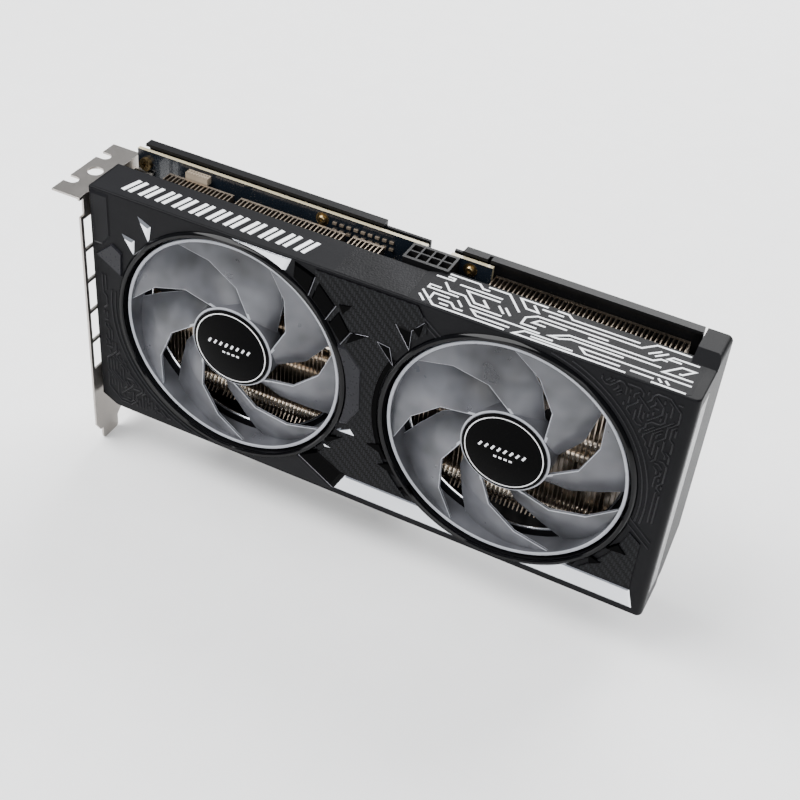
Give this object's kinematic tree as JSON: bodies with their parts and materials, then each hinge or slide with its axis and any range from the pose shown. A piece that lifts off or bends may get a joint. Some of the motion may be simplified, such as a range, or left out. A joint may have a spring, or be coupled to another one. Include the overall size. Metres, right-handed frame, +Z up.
{
  "type": "graphics card",
  "caption": "Two-slot graphics card with an angular shroud, two spinning axial fans, finned heatsink, circuit board with edge connector, slot bracket and backplate.",
  "frame": {"origin": "on the slot bracket's outer face, at the circuit board's component face, level with the lower edge of the connector's fingers", "axes": "+X along the card away from the bracket, +Y from the fans towards the backplate, +Z up from the slot connector"},
  "size_m": [0.247, 0.0416, 0.1265],
  "materials": {
    "backplate_paint": "satin",
    "black_steel": "matt",
    "brass": "plain",
    "bronze": "plain",
    "carbon_pattern": "gloss, woven pattern",
    "chip_black": "fine",
    "choke_grey": "fine",
    "die_silicon": "mirror-like",
    "fan_plastic": "frosted clear",
    "fin_aluminium": "plain",
    "frame_plastic": "satin",
    "frosted_guide": "frosted",
    "gloss_black": "gloss",
    "gold_plate": "polished",
    "graphite_plastic": "fine texture",
    "label_film": "gloss with a silver line",
    "magnet": "plain",
    "nylon_black": "satin",
    "nylon_white": "satin",
    "pad_grey": "soft",
    "pipe_plate": "nickel plated",
    "solder_mask": "satin",
    "steel": "plain"
  },
  "bodies": {
    "card": {"shroud": "graphite_plastic", "carbon_panels": "carbon_pattern", "lower_trim": "gloss_black", "facet_trims": "gloss_black", "light_guide": "frosted_guide", "light_board": "solder_mask", "shroud_screws": "black_steel", "fin_stack_left": "fin_aluminium", "fin_stack_right": "fin_aluminium", "heat_pipes": "pipe_plate", "cold_plate": "pipe_plate", "cooler_brackets": "black_steel", "frame_plate": "black_steel", "thermal_pads": "pad_grey", "circuit_board": "solder_mask", "edge_contacts": "gold_plate", "chip_package": "solder_mask", "chip_die": "die_silicon", "memory_chips": "chip_black", "power_stages": "chip_black", "chokes": "choke_grey", "capacitors": "steel", "small_parts": "nylon_white", "fan_headers": "nylon_white", "power_socket": "nylon_black", "power_pins": "gold_plate", "display_sockets": "steel", "lower_display_socket": "steel", "socket_tongues": "nylon_black", "slot_bracket": "steel", "bracket_lugs": "steel", "backplate": "backplate_paint", "backplate_spacers": "brass", "backplate_screws": "black_steel", "corner_screw": "brass", "cross_brace": "black_steel", "spring_screws": "black_steel", "cooler_springs": "steel", "fan_frame_left": "frame_plastic", "fan_bearing_left": "bronze", "fan_stator_left": "magnet", "fan_board_left": "solder_mask", "fan_frame_right": "frame_plastic", "fan_bearing_right": "bronze", "fan_stator_right": "magnet", "fan_board_right": "solder_mask"},
    "fan_left": {"fan_rotor_left": "fan_plastic", "hub_label_left": "label_film", "fan_magnet_left": "magnet", "fan_shaft_left": "steel"},
    "fan_right": {"fan_rotor_right": "fan_plastic", "hub_label_right": "label_film", "fan_magnet_right": "magnet", "fan_shaft_right": "steel"}
  },
  "joints": [
    {"name": "fan_left_spin", "type": "hinge", "parent": "card", "child": "fan_left", "pos_m": [0.0622, -0.025, 0.0647], "axis": [0, -1, 0], "continuous": true},
    {"name": "fan_right_spin", "type": "hinge", "parent": "card", "child": "fan_right", "pos_m": [0.1742, -0.025, 0.0647], "axis": [0, -1, 0], "continuous": true}
  ]
}
